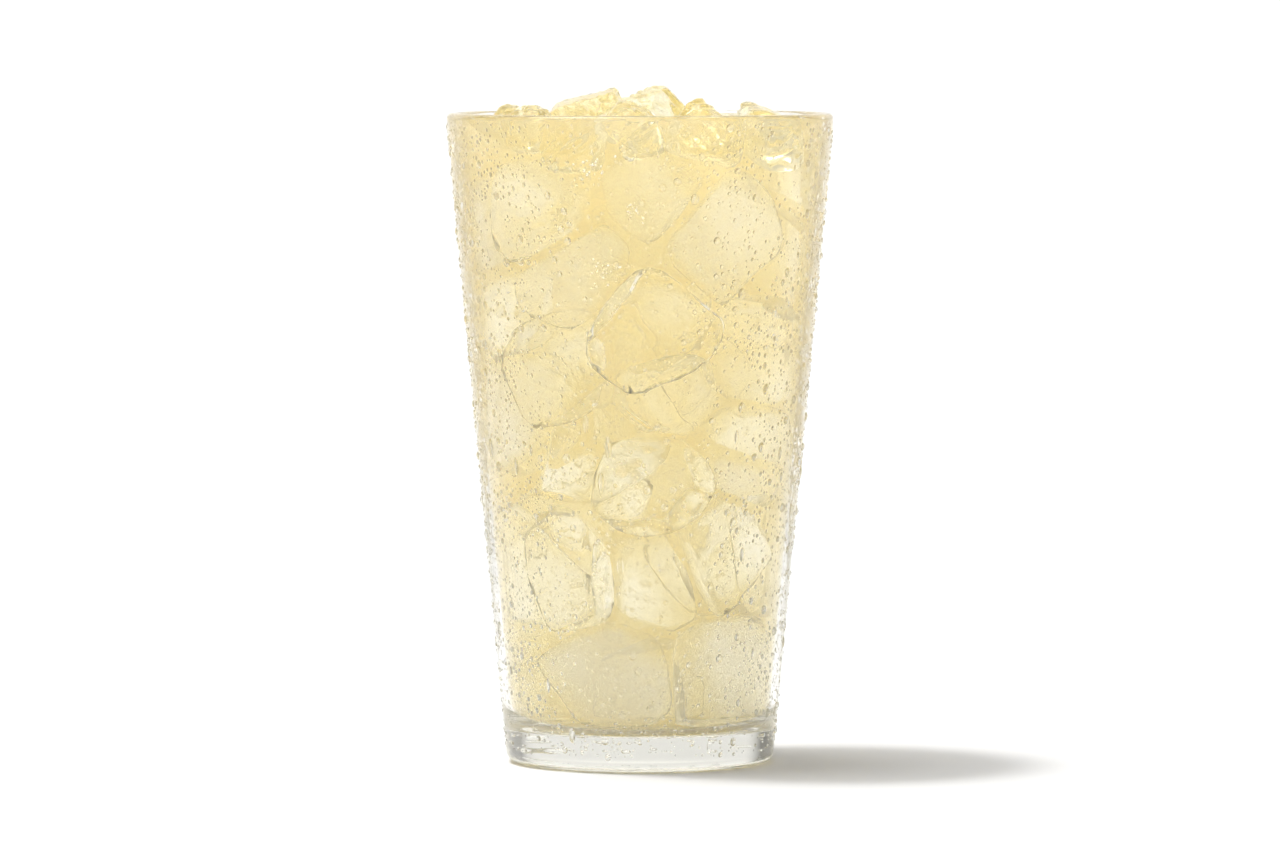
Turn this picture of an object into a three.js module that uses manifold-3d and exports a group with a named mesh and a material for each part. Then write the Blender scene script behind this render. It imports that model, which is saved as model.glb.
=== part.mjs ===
// A pint glass of iced lemonade: a clear tapered tumbler with a thick foot, the drink that fills it
// almost to the lip, and the pieces of ice that break the surface.
// Millimetres, +Z up. The origin is the centre of the foot, on the table.
import * as THREE from "three";
import { RoundedBoxGeometry } from "three/addons/geometries/RoundedBoxGeometry.js";
import { mergeVertices } from "three/addons/utils/BufferGeometryUtils.js";
import Module from "manifold-3d";

// Tumbler, outside
const GLASS_HEIGHT = 149;
const RIM_RADIUS = 44.5; // at the lip
const FOOT_RADIUS = 30.5; // the straight side carried down to the table
const HEEL_ROUNDING = 2.5; // where the side turns under the foot
const PUNT_RADIUS = 21; // the hollow under the foot, inside the ring it stands on
const PUNT_DEPTH = 1;

// Tumbler, inside
const LIP_WALL = 2.8;
const FLOOR_WALL = 3.3; // the wall is a little thicker near the floor
const FLOOR_HEIGHT = 8; // thickness of the foot
const FLOOR_ROUNDING = 6;

// Contents
const DRINK_BELOW_RIM = 1.6;
const FIT_GAP = 0.3; // between the drink and what it touches
const ICE_ROUNDING = 3.2; // melted edges
const ICE_UNEVENNESS = 0.13; // how far a corner strays, as a share of the piece's size
const ICE_SEED = 7;

// Fineness of the round stretches
const TURN_STEPS = 72;
const ARC_STEPS = 4;
const ICE_EDGE_STEPS = 2;

// Each piece of ice: where its middle stands, how far its top rises above the rim, its length, width and
// height as frozen, and its turn about X, Y and Z in degrees.
const ICE_PIECES = [
  { name: "ice_long_slab", middle: [-11, -3.4], rise: 6.0, size: [17, 15, 13], turn: [6, -12, -6] },
  { name: "ice_tall_block", middle: [1.8, 12], rise: 6.3, size: [16, 13, 17], turn: [10, -8, 24] },
  { name: "ice_front_wedge", middle: [-2.4, -20], rise: 3.2, size: [10, 11, 12], turn: [28, 34, 12] },
  { name: "ice_peak", middle: [13.8, -4.6], rise: 3.5, size: [11.5, 13, 13], turn: [24, 32, 18] },
  { name: "ice_right_slab", middle: [28.4, 1], rise: 2.5, size: [12, 15, 13], turn: [4, 16, 10] },
  { name: "ice_left_dome", middle: [-29.4, 6.5], rise: 1.9, size: [11, 14, 13], turn: [18, 22, 14] },
  { name: "ice_left_inner_dome", middle: [-24.4, -15.4], rise: 2.2, size: [10, 12, 12], turn: [20, -14, 38] },
  { name: "ice_front_left", middle: [-14.5, -27.4], rise: -0.6, size: [12, 11, 13], turn: [8, 6, 28] },
  { name: "ice_front_right", middle: [14.2, -25], rise: -0.3, size: [15, 13, 12], turn: [-9, 8, -30] },
  { name: "ice_right_front", middle: [29.3, -15], rise: -0.5, size: [11, 12, 13], turn: [12, -10, 24] },
  { name: "ice_back_left", middle: [-16.5, 21.5], rise: -0.3, size: [17, 15, 13], turn: [-10, 8, 40] },
  { name: "ice_back_middle", middle: [4, 31.5], rise: -0.1, size: [16, 12, 13], turn: [7, 12, 8] },
  { name: "ice_back_right", middle: [20.5, 19.5], rise: -0.2, size: [15, 15, 13], turn: [10, -9, -42] },
  { name: "ice_front_chip", middle: [0.6, -34.6], rise: -0.8, size: [10, 8, 10], turn: [12, -8, 4] },
  { name: "ice_right_chip", middle: [32.4, 14.2], rise: -0.7, size: [8, 9, 10], turn: [-8, 10, -24] },
];

const GLASS_LOOK = { color: 0xeef2f0, roughness: 0.05, metalness: 0, transparent: true, opacity: 0.35 };
const DRINK_LOOK = { color: 0xf0deaa, roughness: 0.2, metalness: 0 };
const ICE_LOOK = { color: 0xf4ecd2, roughness: 0.1, metalness: 0, transparent: true, opacity: 0.6 };

const wasm = await Module();
wasm.setup();

// A closed geometry as a solid that can be cut, placed by a matrix.
function solidFrom(geometry, matrix) {
  const bare = geometry.clone();
  bare.deleteAttribute("normal");
  bare.deleteAttribute("uv");
  const merged = mergeVertices(bare.applyMatrix4(matrix));
  return new wasm.Manifold(
    new wasm.Mesh({
      numProp: 3,
      vertProperties: merged.getAttribute("position").array,
      triVerts: new Uint32Array(merged.index.array),
    }),
  );
}

function geometryFrom(solid) {
  const { vertProperties, triVerts } = solid.getMesh();
  const geometry = new THREE.BufferGeometry();
  geometry.setAttribute("position", new THREE.BufferAttribute(vertProperties, 3));
  geometry.setIndex(new THREE.BufferAttribute(triVerts, 1));
  geometry.computeVertexNormals();
  return geometry;
}

// Straight side of the tumbler: the outer radius at a height, and the inner one.
function outerRadius(height) {
  return THREE.MathUtils.lerp(FOOT_RADIUS, RIM_RADIUS, height / GLASS_HEIGHT);
}

function innerRadius(height) {
  const share = (height - FLOOR_HEIGHT) / (GLASS_HEIGHT - FLOOR_HEIGHT);
  return outerRadius(height) - THREE.MathUtils.lerp(FLOOR_WALL, LIP_WALL, share);
}

// Half outline of the tumbler, from the middle of its underside round the lip to the middle of its floor.
function tumblerOutline() {
  const lipHeight = GLASS_HEIGHT - LIP_WALL / 2;
  const outline = new THREE.Path();
  outline.moveTo(0, PUNT_DEPTH);
  outline.quadraticCurveTo(PUNT_RADIUS / 2, PUNT_DEPTH, PUNT_RADIUS, 0);
  outline.lineTo(FOOT_RADIUS - HEEL_ROUNDING, 0);
  outline.quadraticCurveTo(FOOT_RADIUS, 0, outerRadius(HEEL_ROUNDING), HEEL_ROUNDING);
  outline.lineTo(outerRadius(lipHeight), lipHeight);
  outline.absellipse(
    (outerRadius(lipHeight) + innerRadius(lipHeight)) / 2,
    lipHeight,
    (outerRadius(lipHeight) - innerRadius(lipHeight)) / 2,
    LIP_WALL / 2,
    0,
    Math.PI,
    false,
  );
  cavityOutline(outline, 0);
  return outline.getPoints(ARC_STEPS);
}

// Inside of the tumbler from the end of an outline down to the middle of the floor, drawn in by a gap.
function cavityOutline(outline, gap) {
  const turnHeight = FLOOR_HEIGHT + FLOOR_ROUNDING;
  const floorEdge = innerRadius(FLOOR_HEIGHT) - FLOOR_ROUNDING;
  outline.lineTo(innerRadius(turnHeight) - gap, turnHeight);
  outline.quadraticCurveTo(innerRadius(FLOOR_HEIGHT) - gap, FLOOR_HEIGHT + gap, floorEdge, FLOOR_HEIGHT + gap);
  outline.lineTo(0, FLOOR_HEIGHT + gap);
}

// Half outline of the drink, from the middle of the floor up the wall to the middle of its surface.
function drinkOutline() {
  const level = GLASS_HEIGHT - DRINK_BELOW_RIM;
  const outline = new THREE.Path();
  outline.moveTo(0, level);
  outline.lineTo(innerRadius(level) - FIT_GAP, level);
  cavityOutline(outline, FIT_GAP);
  return outline.getPoints(ARC_STEPS).reverse();
}

// An outline turned about the upright axis. A lathe turns about Y, so the result is laid over to Z.
function turned(outline) {
  return new THREE.LatheGeometry(outline, TURN_STEPS).rotateX(Math.PI / 2);
}

// A repeatable stream of numbers from -1 to 1.
function unevenness(seed) {
  const modulus = 2147483647;
  const multiplier = 48271;
  const step = (state) => (state * multiplier) % modulus;
  let state = step(step(seed));
  return () => {
    state = step(state);
    return (state / modulus) * 2 - 1;
  };
}

// A cube of ice with melted edges, pulled out of true by moving its eight corners a little.
// Grown by a gap, it is the pocket that the piece takes up in the drink.
function iceGeometry(size, seed, gap) {
  const [length, width, height] = size;
  const grown = new RoundedBoxGeometry(
    length + 2 * gap,
    width + 2 * gap,
    height + 2 * gap,
    ICE_EDGE_STEPS,
    ICE_ROUNDING + gap,
  );
  const draw = unevenness(seed);
  const corners = Array.from({ length: 8 }, () => new THREE.Vector3(draw(), draw(), draw()));
  const position = grown.getAttribute("position");
  const half = new THREE.Vector3(length, width, height).divideScalar(2);
  const point = new THREE.Vector3();
  for (let i = 0; i < position.count; i++) {
    point.fromBufferAttribute(position, i);
    const share = point.clone().divide(half).addScalar(1).divideScalar(2);
    corners.forEach((corner, k) => {
      const weight =
        (k & 1 ? share.x : 1 - share.x) * (k & 2 ? share.y : 1 - share.y) * (k & 4 ? share.z : 1 - share.z);
      point.addScaledVector(corner.clone().multiply(half), 2 * ICE_UNEVENNESS * weight);
    });
    position.setXYZ(i, point.x, point.y, point.z);
  }
  return grown;
}

// Moves a piece of ice so that its middle and its top are where the arrangement has them.
function placeIce(mesh, { middle, rise, turn }) {
  mesh.rotation.set(...turn.map(THREE.MathUtils.degToRad));
  mesh.updateMatrix();
  const box = new THREE.Box3().setFromObject(mesh, true);
  const centre = box.getCenter(new THREE.Vector3());
  mesh.position.set(middle[0] - centre.x, middle[1] - centre.y, GLASS_HEIGHT + rise - box.max.z);
  mesh.updateMatrix();
}

const glassOfLemonade = new THREE.Group();

const tumbler = new THREE.Mesh(turned(tumblerOutline()), new THREE.MeshStandardMaterial(GLASS_LOOK));
tumbler.name = "tumbler";
glassOfLemonade.add(tumbler);

let drink = solidFrom(turned(drinkOutline()), new THREE.Matrix4());
ICE_PIECES.forEach((piece, i) => {
  const seed = ICE_SEED + i;
  const ice = new THREE.Mesh(iceGeometry(piece.size, seed, 0), new THREE.MeshStandardMaterial(ICE_LOOK));
  ice.name = piece.name;
  placeIce(ice, piece);
  glassOfLemonade.add(ice);
  drink = drink.subtract(solidFrom(iceGeometry(piece.size, seed, FIT_GAP), ice.matrix));
});

const lemonade = new THREE.Mesh(geometryFrom(drink), new THREE.MeshStandardMaterial(DRINK_LOOK));
lemonade.name = "lemonade";
glassOfLemonade.add(lemonade);

export default glassOfLemonade;
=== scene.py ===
import itertools
import math
import random

import bmesh
import bpy
import numpy as np
from mathutils import Euler, Matrix, Vector, noise


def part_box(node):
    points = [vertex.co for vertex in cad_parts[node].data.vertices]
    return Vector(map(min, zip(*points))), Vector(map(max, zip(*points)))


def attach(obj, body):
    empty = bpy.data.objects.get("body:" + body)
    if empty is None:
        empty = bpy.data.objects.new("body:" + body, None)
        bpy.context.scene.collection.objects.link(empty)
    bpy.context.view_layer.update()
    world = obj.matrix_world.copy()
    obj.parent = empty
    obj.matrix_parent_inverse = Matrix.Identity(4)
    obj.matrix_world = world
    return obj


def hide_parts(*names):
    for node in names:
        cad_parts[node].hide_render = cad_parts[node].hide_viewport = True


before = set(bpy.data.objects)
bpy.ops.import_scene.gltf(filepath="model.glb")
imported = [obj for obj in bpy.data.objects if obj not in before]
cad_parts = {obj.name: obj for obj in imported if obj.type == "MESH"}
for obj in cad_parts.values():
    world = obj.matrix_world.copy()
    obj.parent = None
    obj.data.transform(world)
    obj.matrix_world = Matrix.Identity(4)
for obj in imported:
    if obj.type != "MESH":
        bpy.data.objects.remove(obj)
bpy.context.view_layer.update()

MM = 0.001

# The tumbler, as in the solids
GLASS_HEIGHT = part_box("tumbler")[1].z
RIM_RADIUS = 44.5 * MM
FOOT_RADIUS = 30.5 * MM
HEEL_ROUNDING = 2.5 * MM
PUNT_RADIUS = 21 * MM
PUNT_DEPTH = 1 * MM
LIP_WALL = 2.8 * MM
FLOOR_WALL = 3.3 * MM
FLOOR_HEIGHT = 8 * MM
FLOOR_ROUNDING = 6 * MM
SIDE_SLOPE = (RIM_RADIUS - FOOT_RADIUS) / GLASS_HEIGHT
TURN_STEPS = 192
LIP_STEPS = 12
BEND_STEPS = 8
FLOOR_BEND_STEPS = 10
SAME_POINT = 0.001 * MM

# The drink and the ice sunk in it
DRINK_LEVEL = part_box("lemonade")[1].z
WALL_OVERLAP = 0.1 * MM
MENISCUS_RISE = 0.7 * MM
MENISCUS_WIDTH = 2.5 * MM
ICE_NODES = sorted(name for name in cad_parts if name.startswith("ice_"))
SUNK_ICE_TOP = DRINK_LEVEL - 2.5 * MM
SUNK_ICE_BOTTOM = FLOOR_HEIGHT + 1 * MM
SUNK_ICE_COUNT = 52
SUNK_ICE_SEED = 11
SUNK_ICE_KINDS = ("clear", "melting", "cloudy")
SUNK_ICE_SHARES = (0.3, 0.4, 0.3)
SUNK_ICE_TILT = 0.8
LEAST_HALF_WIDTH = 5 * MM
LEAST_EDGE = 2.6 * MM
FLATTEST_EDGE = math.radians(12)
PLACE_TRIES = 24
NEIGHBOURS = 24
WALL_CUTS = 24
POCKET_SHRINK = 0.04 * MM

# Sunk ice, in millimetres: sides as frozen, room to its neighbours and to the wall, width of its melted edges
SUNK_ICE_SIDES = (20, 36)
SUNK_ICE_GAPS = (0.6, 2.2)
WALL_GAPS = (0.2, 1.6)
MELTED_EDGES = (1.6, 3.2)

# What melting leaves on ice: dimples, each as spacing and depth in millimetres, ridges, and what it takes off
SUNK_DIMPLES = ((9 * MM, 0.9), (4 * MM, 0.3))
SUNK_MELT = 0.5
FLOATING_DIMPLES = ((5 * MM, 0.4), (2 * MM, 0.15))
FLOATING_MELT = 0.1
RIDGE_SPACING = 1.9 * MM
RIDGE_DEPTH = 0.5
RIDGE_PATCH = 6 * MM

# Chips knocked off the floating ice, and how far out they start, as a share of the way to its surface
CHIP_COUNT = 7
CHIP_STARTS = (0.8, 0.92)
CHIP_SLOPES = (0.2, 1.0)
SAME_CORNER = 0.01 * MM
FLOATING_VOXEL = 0.65 * MM

# Trapped air: height of each cluster that shows, and its bearing round the glass from the front
AIR_PLACES = (
    (138 * MM, -0.27),
    (127 * MM, -0.02),
    (114 * MM, -0.23),
    (107 * MM, -0.85),
    (57 * MM, -1.15),
    (47 * MM, 0.06),
)

# All clusters, lengths in millimetres: their bubbles, whose widths and lengths are shares of the radius, and
# how far those stray up, round and inwards
AIR_CLUSTERS = 20
AIR_SEED = 3
AIR_HEIGHTS = (25, 140)
AIR_SIDES = (0.2 * math.pi, 1.8 * math.pi)
AIR_SPREADS = (2, 4.5)
AIR_BUBBLES = (10, 26)
AIR_RADII = (0.18, 0.55)
AIR_WIDTHS = (0.4, 1)
AIR_LENGTHS = (0.5, 1.4)
AIR_STRAY_UP = 0.5
AIR_STRAY_ROUND = 0.6
AIR_STRAY_IN = 0.5

# A hair of air under the foot, so that light gets in from below
FLOOR_GAP = 0.1 * MM

# Condensation on the outside: how many of each kind, their radii in millimetres, and their length and
# height as shares of that radius
RUN_COUNT, RUN_RADII = 40, (0.55, 0.9)
RUN_TOP = 80 * MM
BEAD_COUNT, BEAD_RADII = 420, (0.56, 1.05)
DROP_COUNT, DROP_RADII = 3600, (0.27, 0.55)
MIST_COUNT, MIST_RADII = 8000, (0.14, 0.26)
RUN_STRETCHES = (2.1, 3.0)
DROPLET_STRETCHES = (0.85, 1.3)
DROPLET_HEIGHTS = (0.75, 1.2)
LOWEST_DROPLET = 3.5 * MM
HIGHEST_DROPLET = GLASS_HEIGHT - 2 * MM
CONDENSATION_SEED = 5
DROPLET_TRIES = 20
DROPLET_CELL = 6 * MM
DROPLET_SINK = 0.03 * MM
PATCH_SIZE = 13 * MM
PATCH_COVER = 0.7
PATCH_CONTRAST = 0.8
CONTACT_ANGLE = math.radians(67.5)
SHARP_ANGLE = math.radians(80)

# Sides and rings of each droplet's mesh
BEAD_FINENESS = (12, 4)
DROP_FINENESS = (8, 3)
MIST_FINENESS = (6, 2)

# Studio light: a soft box high on the left, and a lamp in its place for the shadow on the table
KEY_DIRECTION = Vector((-0.30, 0.06, 0.95)).normalized()
KEY_INNER = math.radians(10)
KEY_OUTER = math.radians(22)
KEY_STRENGTH = 7.0
LAMP_STRENGTH = 1.6
LAMP_WIDTH = math.radians(7)

# The camera, which stands where the photograph was taken from
CAMERA_PLACE = Vector((0, -1.8388, 0.1805))
CAMERA_AIM = Vector((0, 0, 0.077))
CAMERA_LENS = 225.6
CAMERA_SENSOR = 36
FLOOR_SIZE = 80


def linear(hex_colour):
    """An sRGB hex colour as linear red, green, blue and alpha."""
    channels = [int(hex_colour[i : i + 2], 16) / 255 for i in (1, 3, 5)]
    return [c / 12.92 if c <= 0.04045 else ((c + 0.055) / 1.055) ** 2.4 for c in channels] + [1.0]


def add_node(tree, kind, settings=None, links=None):
    """Adds a node, with its own settings and socket values, and what feeds its sockets."""
    node = tree.nodes.new(kind)
    for key, value in (settings or {}).items():
        if isinstance(key, str) and hasattr(node, key):
            setattr(node, key, value)
        else:
            node.inputs[key].default_value = value
    for socket, source in (links or {}).items():
        tree.links.new(source, node.inputs[socket])
    return node


def new_material(name):
    material = bpy.data.materials.new(name)
    material.use_nodes = True
    material.node_tree.nodes.clear()
    return material, material.node_tree


# Shapes turned about the upright axis


def outer_radius(z):
    return FOOT_RADIUS + SIDE_SLOPE * z


def inner_radius(z):
    share = (z - FLOOR_HEIGHT) / (GLASS_HEIGHT - FLOOR_HEIGHT)
    return outer_radius(z) - (FLOOR_WALL + (LIP_WALL - FLOOR_WALL) * share)


def bend(start, corner, end, steps):
    """Points of a curve that leaves start for a corner and turns into end."""
    points = []
    for i in range(steps + 1):
        t = i / steps
        weights = ((1 - t) ** 2, 2 * t * (1 - t), t * t)
        points.append(tuple(sum(w * c for w, c in zip(weights, axis)) for axis in zip(start, corner, end)))
    return points


def cavity_outline(overlap):
    """The inside of the tumbler, from its straight wall to the middle of its floor, grown by an overlap."""
    turn = FLOOR_HEIGHT + FLOOR_ROUNDING
    start = (inner_radius(turn) + overlap, turn)
    corner = (inner_radius(FLOOR_HEIGHT) + overlap, FLOOR_HEIGHT - overlap)
    end = (inner_radius(FLOOR_HEIGHT) - FLOOR_ROUNDING, FLOOR_HEIGHT - overlap)
    return bend(start, corner, end, FLOOR_BEND_STEPS) + [(0, FLOOR_HEIGHT - overlap)]


def tumbler_outline():
    """Radius and height along the tumbler, from the middle of its underside to the middle of its floor."""
    lip_z = GLASS_HEIGHT - LIP_WALL / 2
    middle = (outer_radius(lip_z) + inner_radius(lip_z)) / 2
    half = (outer_radius(lip_z) - inner_radius(lip_z)) / 2
    lip = []
    for i in range(LIP_STEPS + 1):
        angle = math.pi * i / LIP_STEPS
        lip.append((middle + half * math.cos(angle), lip_z + LIP_WALL / 2 * math.sin(angle)))
    heel_top = (outer_radius(HEEL_ROUNDING), HEEL_ROUNDING)
    heel = bend((FOOT_RADIUS - HEEL_ROUNDING, 0), (FOOT_RADIUS, 0), heel_top, BEND_STEPS)
    punt = bend((0, PUNT_DEPTH), (PUNT_RADIUS / 2, PUNT_DEPTH), (PUNT_RADIUS, 0), BEND_STEPS)
    return punt + heel + lip + cavity_outline(0)


def drink_outline():
    """Radius and height along the drink, from the middle of its surface to the middle of the floor."""
    wall = inner_radius(DRINK_LEVEL) + WALL_OVERLAP
    foot = (wall - MENISCUS_WIDTH, DRINK_LEVEL)
    corner = (wall - WALL_OVERLAP, DRINK_LEVEL)
    meniscus = bend(foot, corner, (wall, DRINK_LEVEL + MENISCUS_RISE), BEND_STEPS)
    return [(0, DRINK_LEVEL)] + meniscus + cavity_outline(WALL_OVERLAP)


def turned(outline):
    """The outline turned about the upright axis, as a closed shape."""
    bm = bmesh.new()
    points = [bm.verts.new((r, 0, z)) for r, z in outline]
    edges = [bm.edges.new(pair) for pair in zip(points, points[1:])]
    bmesh.ops.spin(
        bm, geom=points + edges, axis=(0, 0, 1), angle=2 * math.pi, steps=TURN_STEPS, use_merge=True
    )
    bmesh.ops.remove_doubles(bm, verts=bm.verts, dist=SAME_POINT)
    bmesh.ops.recalc_face_normals(bm, faces=bm.faces)
    return bm


# Pieces


def add_piece(name, mesh, material, replaced=()):
    """A finished piece on the part's one body, standing for the solids that it replaces."""
    mesh.name = name
    mesh.materials.clear()
    mesh.materials.append(material)
    made = bpy.data.objects.new(name, mesh)
    bpy.context.scene.collection.objects.link(made)
    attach(made, "root")
    if replaced:
        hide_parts(*replaced)
    return made


def mesh_of(bm):
    mesh = bpy.data.meshes.new("shape")
    bm.to_mesh(mesh)
    bm.free()
    mesh.shade_smooth()
    return mesh


def after_modifier(bm, kind, **settings):
    """The shape as a modifier leaves it."""
    holder = bpy.data.objects.new("holder", mesh_of(bm))
    bpy.context.scene.collection.objects.link(holder)
    modifier = holder.modifiers.new(kind, kind)
    for key, value in settings.items():
        setattr(modifier, key, value)
    done = bmesh.new()
    done.from_object(holder, bpy.context.evaluated_depsgraph_get())
    bpy.data.meshes.remove(holder.data)
    return done


# Ice


def dimple(place, dimples):
    return sum(noise.noise(place / spacing) * depth for spacing, depth in dimples)


def cut_away(bm, point, normal):
    """Saws off what lies beyond a plane and closes the cut."""
    geom = bm.verts[:] + bm.edges[:] + bm.faces[:]
    cut = bmesh.ops.bisect_plane(bm, geom=geom, plane_co=point, plane_no=normal, clear_outer=True)
    edges = [e for e in cut["geom_cut"] if isinstance(e, bmesh.types.BMEdge)]
    if edges:
        bmesh.ops.contextual_create(bm, geom=edges)


def room_towards(middle, floater):
    """The way from a sunk piece's middle to a floating piece, and how far off that piece begins."""
    away = Vector(floater.mean(axis=0)) - middle
    away.normalize()
    return away, (floater @ np.array(away)).min() - middle.dot(away)


def sunk_ice_middles(floaters, draw):
    """Middles of the sunk pieces, each the loosest of several draws, so that they spread evenly."""
    middles = []
    while len(middles) < SUNK_ICE_COUNT:
        tries = []
        for _ in range(PLACE_TRIES):
            z = draw.uniform(FLOOR_HEIGHT + LEAST_HALF_WIDTH, SUNK_ICE_TOP - LEAST_HALF_WIDTH)
            r = (inner_radius(SUNK_ICE_TOP) - LEAST_HALF_WIDTH) * math.sqrt(draw.random())
            a = draw.uniform(0, 2 * math.pi)
            place = Vector((r * math.cos(a), r * math.sin(a), z))
            inside = r < inner_radius(z) - LEAST_HALF_WIDTH
            if inside and all(room_towards(place, f)[1] > LEAST_HALF_WIDTH for f in floaters):
                tries.append(place)
        if tries:
            middles.append(max(tries, key=lambda t: min(((t - m).length for m in middles), default=0)))
    return middles


def ice_chunk(middle, middles, floaters, draw):
    """A half-melted cube of ice, cut back to its share of the room between its neighbours and the wall."""
    bm = bmesh.new()
    turn = Euler([draw.uniform(-SUNK_ICE_TILT, SUNK_ICE_TILT) for _ in range(3)]).to_matrix().to_4x4()
    size = Matrix.Diagonal([draw.uniform(*SUNK_ICE_SIDES) * MM for _ in range(3)] + [1])
    bmesh.ops.create_cube(bm, size=1, matrix=Matrix.Translation(middle) @ turn @ size)
    gap = draw.uniform(*SUNK_ICE_GAPS) * MM
    for other in sorted(middles, key=lambda m: (m - middle).length)[1:NEIGHBOURS]:
        away = (other - middle).normalized()
        cut_away(bm, (middle + other) / 2 - away * gap / 2, away)
    for floater in floaters:
        away, room = room_towards(middle, floater)
        cut_away(bm, middle + away * (room - gap / 2), away)
    clearance = draw.uniform(*WALL_GAPS) * MM
    for k in range(WALL_CUTS):
        angle = 2 * math.pi * k / WALL_CUTS
        outward = Vector((math.cos(angle), math.sin(angle), 0))
        wall = outward * (inner_radius(middle.z) - clearance) + Vector((0, 0, middle.z))
        cut_away(bm, wall, (outward - Vector((0, 0, SIDE_SLOPE))).normalized())
    cut_away(bm, Vector((0, 0, SUNK_ICE_TOP)), Vector((0, 0, 1)))
    cut_away(bm, Vector((0, 0, SUNK_ICE_BOTTOM)), Vector((0, 0, -1)))
    bmesh.ops.remove_doubles(bm, verts=bm.verts, dist=LEAST_EDGE)
    bmesh.ops.dissolve_limit(bm, angle_limit=FLATTEST_EDGE, verts=bm.verts, edges=bm.edges)
    bmesh.ops.recalc_face_normals(bm, faces=bm.faces)
    if bm.calc_volume(signed=True) < 0:
        bmesh.ops.reverse_faces(bm, faces=bm.faces)
    bmesh.ops.inset_individual(bm, faces=bm.faces[:], thickness=draw.uniform(*MELTED_EDGES) * MM)
    bm = after_modifier(bm, "SUBSURF", levels=1, render_levels=1)
    bm.normal_update()
    for vert in bm.verts:
        vert.co += vert.normal * (dimple(vert.co, SUNK_DIMPLES) - SUNK_MELT) * MM
    return bm


def sunk_ice():
    """The sunk pieces as one heap for each kind of ice."""
    draw = random.Random(SUNK_ICE_SEED)
    floaters = [np.array([v.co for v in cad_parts[node].data.vertices]) for node in ICE_NODES]
    middles = sunk_ice_middles(floaters, draw)
    heaps = {kind: bmesh.new() for kind in SUNK_ICE_KINDS}
    for middle in middles:
        chunk = mesh_of(ice_chunk(middle, middles, floaters, draw))
        heaps[draw.choices(SUNK_ICE_KINDS, SUNK_ICE_SHARES)[0]].from_mesh(chunk)
        bpy.data.meshes.remove(chunk)
    return heaps


def floating_ice(node):
    """A piece of ice as its solid has it, with the chips, dimples and ridges that melting leaves."""
    bm = bmesh.new()
    bm.from_mesh(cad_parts[node].data)
    bmesh.ops.remove_doubles(bm, verts=bm.verts, dist=SAME_CORNER)
    draw = random.Random(node)
    corners = np.array([v.co for v in bm.verts])
    middle = Vector(corners.mean(axis=0))
    for _ in range(CHIP_COUNT):
        angle = draw.uniform(0, 2 * math.pi)
        away = Vector((math.cos(angle), math.sin(angle), draw.uniform(*CHIP_SLOPES))).normalized()
        reach = (corners @ np.array(away)).max() - middle.dot(away)
        cut_away(bm, middle + away * reach * draw.uniform(*CHIP_STARTS), away)
    bm = after_modifier(bm, "REMESH", mode="VOXEL", voxel_size=FLOATING_VOXEL)
    bmesh.ops.smooth_vert(bm, verts=bm.verts, factor=0.5, use_axis_x=True, use_axis_y=True, use_axis_z=True)
    bm.normal_update()
    grain = Vector((draw.uniform(-1, 1), draw.uniform(-1, 1), 1)).normalized()
    for vert in bm.verts:
        wave = math.sin(vert.co.dot(grain) / RIDGE_SPACING * 2 * math.pi)
        ridge = wave * noise.noise(vert.co / RIDGE_PATCH)
        relief = dimple(vert.co, FLOATING_DIMPLES) + RIDGE_DEPTH * ridge - FLOATING_MELT
        vert.co += vert.normal * relief * MM
    return bm


def cut_pockets(drink, pieces):
    """Takes the ice out of the drink, a hair smaller than it is, so that no air shows between the two."""
    pockets = bmesh.new()
    for each in pieces:
        pockets.from_mesh(each.data)
    pockets.normal_update()
    for vert in pockets.verts:
        vert.co -= vert.normal * POCKET_SHRINK
    holder = bpy.data.objects.new("holder", mesh_of(pockets))
    bpy.context.scene.collection.objects.link(holder)
    drink = after_modifier(drink, "BOOLEAN", operation="DIFFERENCE", solver="MANIFOLD", object=holder)
    bpy.data.meshes.remove(holder.data)
    return drink


def trapped_air():
    """Clusters of small bubbles just inside the wall, where ice and glass hold them."""
    draw = random.Random(AIR_SEED)
    places = list(AIR_PLACES)
    while len(places) < AIR_CLUSTERS:
        places.append((draw.uniform(*AIR_HEIGHTS) * MM, draw.uniform(*AIR_SIDES)))
    bm = bmesh.new()
    for height, bearing in places:
        spread = draw.uniform(*AIR_SPREADS) * MM
        for _ in range(draw.randint(*AIR_BUBBLES)):
            z = height + draw.gauss(0, AIR_STRAY_UP) * spread
            angle = bearing - math.pi / 2 + draw.gauss(0, AIR_STRAY_ROUND) * spread / inner_radius(height)
            radius = draw.uniform(*AIR_RADII) * MM
            r = inner_radius(z) - AIR_LENGTHS[1] * radius - abs(draw.gauss(0, AIR_STRAY_IN)) * MM
            turn = Euler([draw.uniform(0, math.pi) for _ in range(3)]).to_matrix().to_4x4()
            flat = Matrix.Diagonal((1, draw.uniform(*AIR_WIDTHS), draw.uniform(*AIR_LENGTHS), 1))
            place = Matrix.Translation((r * math.cos(angle), r * math.sin(angle), z))
            bmesh.ops.create_icosphere(bm, subdivisions=1, radius=radius, matrix=place @ turn @ flat)
    return bm


# Condensation


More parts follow.
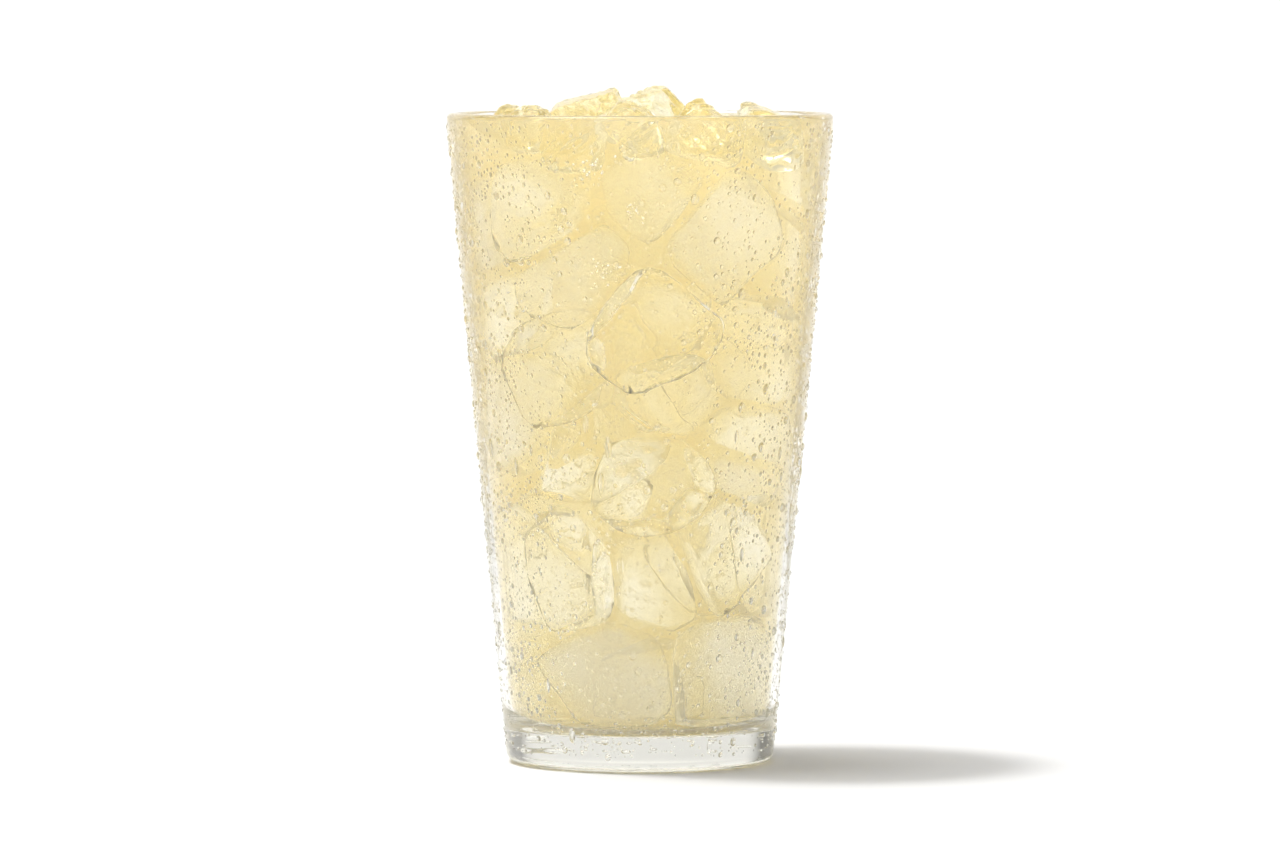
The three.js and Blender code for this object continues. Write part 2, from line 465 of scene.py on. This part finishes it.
def dome(sides, rings):
    """Corners and faces of a flat droplet one unit wide to its edge, its flat side at zero height."""
    bm = bmesh.new()
    arc = [CONTACT_ANGLE * i / rings for i in range(rings + 1)]
    points = [bm.verts.new((math.sin(a), 0, math.cos(a) - math.cos(CONTACT_ANGLE))) for a in arc]
    edges = [bm.edges.new(pair) for pair in zip(points, points[1:])]
    bmesh.ops.spin(bm, geom=points + edges, axis=(0, 0, 1), angle=2 * math.pi, steps=sides, use_merge=True)
    bmesh.ops.remove_doubles(bm, verts=bm.verts, dist=0.001)
    bmesh.ops.contextual_create(bm, geom=[e for e in bm.edges if e.is_boundary])
    bmesh.ops.scale(bm, verts=bm.verts, vec=[1 / math.sin(CONTACT_ANGLE)] * 3)
    bmesh.ops.recalc_face_normals(bm, faces=bm.faces)
    bm.verts.index_update()
    corners = np.array([v.co for v in bm.verts])
    faces = [[v.index for v in f.verts] for f in bm.faces]
    bm.free()
    return corners, faces


def on_glass(z, angle):
    return Vector((outer_radius(z) * math.cos(angle), outer_radius(z) * math.sin(angle), z))


def condensation_places(draw):
    """Radius, stretch, height and angle of each droplet, the largest first, with none on another."""
    sizes = [(draw.uniform(*RUN_RADII) * MM, draw.uniform(*RUN_STRETCHES)) for _ in range(RUN_COUNT)]
    for count, radii in ((BEAD_COUNT, BEAD_RADII), (DROP_COUNT, DROP_RADII), (MIST_COUNT, MIST_RADII)):
        sizes += [(draw.uniform(*radii) * MM, draw.uniform(*DROPLET_STRETCHES)) for _ in range(count)]
    taken = {}
    places = []
    for radius, stretch in sizes:
        reach = radius * max(stretch, 1)
        for _ in range(DROPLET_TRIES):
            top = RUN_TOP if stretch >= RUN_STRETCHES[0] else HIGHEST_DROPLET
            z = draw.uniform(LOWEST_DROPLET, top)
            if draw.random() * RIM_RADIUS > outer_radius(z):
                continue
            angle = draw.uniform(0, 2 * math.pi)
            place = on_glass(z, angle)
            if draw.random() > PATCH_COVER + PATCH_CONTRAST * noise.noise(place / PATCH_SIZE):
                continue
            key = tuple(int(math.floor(c / DROPLET_CELL)) for c in place)
            around = itertools.product(*((k - 1, k, k + 1) for k in key))
            near = itertools.chain.from_iterable(taken.get(k, ()) for k in around)
            if all((place - at).length > reach + other for at, other in near):
                taken.setdefault(key, []).append((place, reach))
                places.append((radius, stretch, z, angle))
                break
    return places


def condensation(places, template, draw):
    """One mesh of the droplets at these places."""
    corners, faces = template
    all_corners = []
    all_faces = []
    lean = math.hypot(1, SIDE_SLOPE)
    for n, (radius, stretch, z, angle) in enumerate(places):
        outward = np.array((math.cos(angle), math.sin(angle), -SIDE_SLOPE)) / lean
        across = np.array((-math.sin(angle), math.cos(angle), 0))
        upward = np.cross(outward, across)
        height = draw.uniform(*DROPLET_HEIGHTS)
        shape = (
            corners[:, :1] * radius * across
            + corners[:, 1:2] * radius * stretch * upward
            + (corners[:, 2:] * radius * height - DROPLET_SINK) * outward
        )
        all_corners.append(np.array(on_glass(z, angle)) + shape)
        all_faces += [[i + n * len(corners) for i in face] for face in faces]
    mesh = bpy.data.meshes.new("shape")
    mesh.from_pydata(np.concatenate(all_corners).tolist(), [], all_faces)
    mesh.shade_smooth()
    mesh.set_sharp_from_angle(angle=SHARP_ANGLE)
    return mesh


# Materials


# Clear soda-lime glass: no colour through the wall, a faint grey-green along its edges and in the foot
def clear_glass():
    material, tree = new_material("clear_soda_lime_glass")
    glass = add_node(tree, "ShaderNodeBsdfPrincipled", {
        "Base Color": (1, 1, 1, 1), "Roughness": 0.0, "IOR": 1.5, "Transmission Weight": 1.0,
    })
    iron = add_node(tree, "ShaderNodeVolumeAbsorption", {"Color": (0.8, 0.79, 0.7, 1), "Density": 14.0})
    add_node(tree, "ShaderNodeOutputMaterial", links={"Surface": glass.outputs[0], "Volume": iron.outputs[0]})
    return material


# Cloudy lemonade: pulp spreads the light so that the depth glows, and juice leaves it a pale yellow.
# Its index is low because the glass overlaps it, and the two together set how wide the clear wall looks.
def cloudy_lemonade():
    material, tree = new_material("cloudy_lemonade")
    drink = add_node(tree, "ShaderNodeBsdfPrincipled", {
        "Base Color": (1, 1, 1, 1), "Roughness": 0.0, "IOR": 1.05, "Transmission Weight": 1.0,
    })
    pulp = add_node(tree, "ShaderNodeVolumeScatter", {
        "Color": (1, 1, 1, 1), "Density": 58.0, "Anisotropy": 0.0,
    })
    juice = add_node(tree, "ShaderNodeVolumeAbsorption", {"Color": (0.99, 0.82, 0.02, 1), "Density": 34.0})
    both = add_node(tree, "ShaderNodeAddShader", links={0: pulp.outputs[0], 1: juice.outputs[0]})
    add_node(tree, "ShaderNodeOutputMaterial", links={"Surface": drink.outputs[0], "Volume": both.outputs[0]})
    return material


# Ice under the surface: close to the drink's index, so its outlines are soft, and whitened by any bubbles
def ice_in_drink(name, ior, roughness, bubbles):
    material, tree = new_material(name)
    ice = add_node(tree, "ShaderNodeBsdfPrincipled", {
        "Base Color": (1, 1, 1, 1), "Roughness": roughness, "IOR": ior, "Transmission Weight": 1.0,
    })
    out = add_node(tree, "ShaderNodeOutputMaterial", links={"Surface": ice.outputs[0]})
    if bubbles:
        haze = add_node(tree, "ShaderNodeVolumeScatter", {
            "Color": (1, 1, 1, 1), "Density": bubbles, "Anisotropy": 0.3,
        })
        tree.links.new(haze.outputs[0], out.inputs["Volume"])
    return material


# Wet clear ice at the surface: sharp bright facets; the yellow in their depth is part drink film, part
# painted reflection
def wet_ice():
    material, tree = new_material("wet_clear_ice")
    ice = add_node(tree, "ShaderNodeBsdfPrincipled", {
        "Base Color": (1, 1, 1, 1), "Roughness": 0.0, "IOR": 1.31, "Transmission Weight": 1.0,
    })
    # Yellow absorption: partly the film of drink on the ice, partly painted shade and reflection of the drink
    film_and_painted_reflection = add_node(tree, "ShaderNodeVolumeAbsorption", {"Color": (0.97, 0.93, 0.6, 1), "Density": 16.0})
    add_node(tree, "ShaderNodeOutputMaterial", links={"Surface": ice.outputs[0], "Volume": film_and_painted_reflection.outputs[0]})
    return material


# Air held against the wall: mirror-bright flecks, because light coming out of the drink can't enter it
def air_in_drink():
    material, tree = new_material("air_in_lemonade")
    air = add_node(tree, "ShaderNodeBsdfPrincipled", {
        "Base Color": (1, 1, 1, 1), "Roughness": 0.08, "Metallic": 1.0,
    })
    add_node(tree, "ShaderNodeOutputMaterial", links={"Surface": air.outputs[0]})
    return material


# Condensed water: small lenses, with a dark rim and a bright point each
def water():
    material, tree = new_material("condensed_water")
    drop = add_node(tree, "ShaderNodeBsdfPrincipled", {
        "Base Color": (1, 1, 1, 1), "Roughness": 0.0, "IOR": 1.6, "Transmission Weight": 1.0,
    })
    add_node(tree, "ShaderNodeOutputMaterial", links={"Surface": drop.outputs[0]})
    return material


# Pale painted table: matt, and white where the lamp reaches it, so that only the shadow of the glass shows
def pale_table():
    material, tree = new_material("pale_painted_table")
    paint = add_node(tree, "ShaderNodeBsdfPrincipled", {
        "Base Color": linear("#DADADA"), "Roughness": 0.9, "Specular IOR Level": 0.0,
    })
    add_node(tree, "ShaderNodeOutputMaterial", links={"Surface": paint.outputs[0]})
    return material


# The object

add_piece("glass_tumbler", mesh_of(turned(tumbler_outline())), clear_glass(), ["tumbler"])

wet = wet_ice()
ice_finishes = {
    "clear": ice_in_drink("clear_ice_in_lemonade", 1.16, 0.03, 0),
    "melting": ice_in_drink("melting_ice_in_lemonade", 1.1, 0.1, 0),
    "cloudy": ice_in_drink("cloudy_ice_in_lemonade", 1.07, 0.12, 65.0),
}
ice_pieces = []
for kind, heap in sunk_ice().items():
    ice_pieces.append(add_piece(f"sunk_{kind}_ice", mesh_of(heap), ice_finishes[kind]))
for node in ICE_NODES:
    name = node.replace("ice_", "floating_ice_")
    ice_pieces.append(add_piece(name, mesh_of(floating_ice(node)), wet, [node]))

add_piece("trapped_air", mesh_of(trapped_air()), air_in_drink())

drink_mesh = mesh_of(cut_pockets(turned(drink_outline()), ice_pieces))
add_piece("lemonade_drink", drink_mesh, cloudy_lemonade(), ["lemonade"])

draw = random.Random(CONDENSATION_SEED)
places = condensation_places(draw)
dew = water()
beads = [p for p in places if p[0] > DROP_RADII[1] * MM]
drops = [p for p in places if MIST_RADII[1] * MM < p[0] <= DROP_RADII[1] * MM]
mist = [p for p in places if p[0] <= MIST_RADII[1] * MM]
add_piece("condensation_beads", condensation(beads, dome(*BEAD_FINENESS), draw), dew)
add_piece("condensation_drops", condensation(drops, dome(*DROP_FINENESS), draw), dew)
front = [p for p in mist if math.sin(p[3]) < 0]
back = [p for p in mist if math.sin(p[3]) >= 0]
add_piece("condensation_mist_front", condensation(front, dome(*MIST_FINENESS), draw), dew)
add_piece("condensation_mist_back", condensation(back, dome(*MIST_FINENESS), draw), dew)

# Floor, light and camera

bm = bmesh.new()
bmesh.ops.create_grid(bm, x_segments=1, y_segments=1, size=FLOOR_SIZE)
bmesh.ops.translate(bm, verts=bm.verts, vec=(0, 0, -FLOOR_GAP))
floor = bpy.data.objects.new("floor", mesh_of(bm))
floor.data.materials.append(pale_table())
bpy.context.scene.collection.objects.link(floor)

lamp = bpy.data.objects.new("table_lamp", bpy.data.lights.new("table_lamp", "SUN"))
lamp.data.energy = LAMP_STRENGTH
lamp.data.angle = LAMP_WIDTH
lamp.rotation_euler = KEY_DIRECTION.to_track_quat("Z", "Y").to_euler()
bpy.context.scene.collection.objects.link(lamp)
lit_by_lamp = bpy.data.collections.new("lit_by_lamp")
lit_by_lamp.objects.link(floor)
lamp.light_linking.receiver_collection = lit_by_lamp

world = bpy.data.worlds.new("studio")
bpy.context.scene.world = world
world.use_nodes = True
# Light sampled straight from the studio can't pass through glass, so it is found by bounces alone
world.cycles.sampling_method = "NONE"
studio = world.node_tree
studio.nodes.clear()
direction = add_node(studio, "ShaderNodeTexCoord")
parts = add_node(studio, "ShaderNodeSeparateXYZ", links={0: direction.outputs["Generated"]})
walls = add_node(studio, "ShaderNodeMapRange", {
    "interpolation_type": "SMOOTHSTEP", "From Min": -0.6, "From Max": 0.6, "To Min": 0.2, "To Max": 0.36,
}, {"Value": parts.outputs["X"]})
backdrop = add_node(studio, "ShaderNodeMapRange", {
    "interpolation_type": "SMOOTHSTEP", "From Min": 0.5, "From Max": 0.78, "To Min": 0.0, "To Max": 1.2,
}, {"Value": parts.outputs["Y"]})
rise = add_node(studio, "ShaderNodeMapRange", {
    "interpolation_type": "SMOOTHSTEP", "From Min": 0.0, "From Max": 0.35, "To Min": 0.78, "To Max": 1.0,
}, {"Value": parts.outputs["Z"]})
backdrop = add_node(studio, "ShaderNodeMath", {"operation": "MULTIPLY"}, {
    0: backdrop.outputs[0], 1: rise.outputs[0],
})
fill = add_node(studio, "ShaderNodeMapRange", {
    "interpolation_type": "SMOOTHSTEP", "From Min": -0.5, "From Max": -0.9, "To Min": 0.0, "To Max": 1.1,
}, {"Value": parts.outputs["Y"]})
fill = add_node(studio, "ShaderNodeMath", {"operation": "MULTIPLY"}, {0: fill.outputs[0], 1: rise.outputs[0]})
ceiling = add_node(studio, "ShaderNodeMapRange", {
    "interpolation_type": "SMOOTHSTEP", "From Min": 0.35, "From Max": 0.8, "To Min": 0.0, "To Max": 0.5,
}, {"Value": parts.outputs["Z"]})
level = walls
for lit in (backdrop, fill, ceiling):
    level = add_node(studio, "ShaderNodeMath", {"operation": "MAXIMUM"}, {
        0: level.outputs[0], 1: lit.outputs[0],
    })
towards = add_node(studio, "ShaderNodeVectorMath", {"operation": "DOT_PRODUCT", 1: KEY_DIRECTION}, {
    0: direction.outputs["Generated"],
})
key = add_node(studio, "ShaderNodeMapRange", {
    "interpolation_type": "SMOOTHSTEP", "From Min": math.cos(KEY_OUTER), "From Max": math.cos(KEY_INNER),
    "To Min": 0.0, "To Max": KEY_STRENGTH,
}, {"Value": towards.outputs["Value"]})
level = add_node(studio, "ShaderNodeMath", {"operation": "ADD"}, {0: level.outputs[0], 1: key.outputs[0]})
sky = add_node(studio, "ShaderNodeBackground", {"Color": (1, 1, 1, 1)}, {"Strength": level.outputs[0]})
add_node(studio, "ShaderNodeOutputWorld", links={"Surface": sky.outputs[0]})

camera = bpy.data.objects.new("camera", bpy.data.cameras.new("camera"))
camera.data.lens = CAMERA_LENS
camera.data.sensor_width = CAMERA_SENSOR
camera.data.clip_end = 2 * FLOOR_SIZE
camera.location = CAMERA_PLACE
camera.rotation_euler = (CAMERA_AIM - CAMERA_PLACE).to_track_quat("-Z", "Y").to_euler()
bpy.context.scene.collection.objects.link(camera)
bpy.context.scene.camera = camera

scene = bpy.context.scene
scene.view_settings.view_transform = "Standard"
scene.cycles.max_bounces = 128
scene.cycles.transmission_bounces = 64
scene.cycles.glossy_bounces = 64
scene.cycles.diffuse_bounces = 8
scene.cycles.volume_bounces = 64
scene.cycles.transparent_max_bounces = 32
scene.cycles.caustics_refractive = True
scene.cycles.sample_clamp_indirect = 10.0
scene.cycles.blur_glossy = 0.0
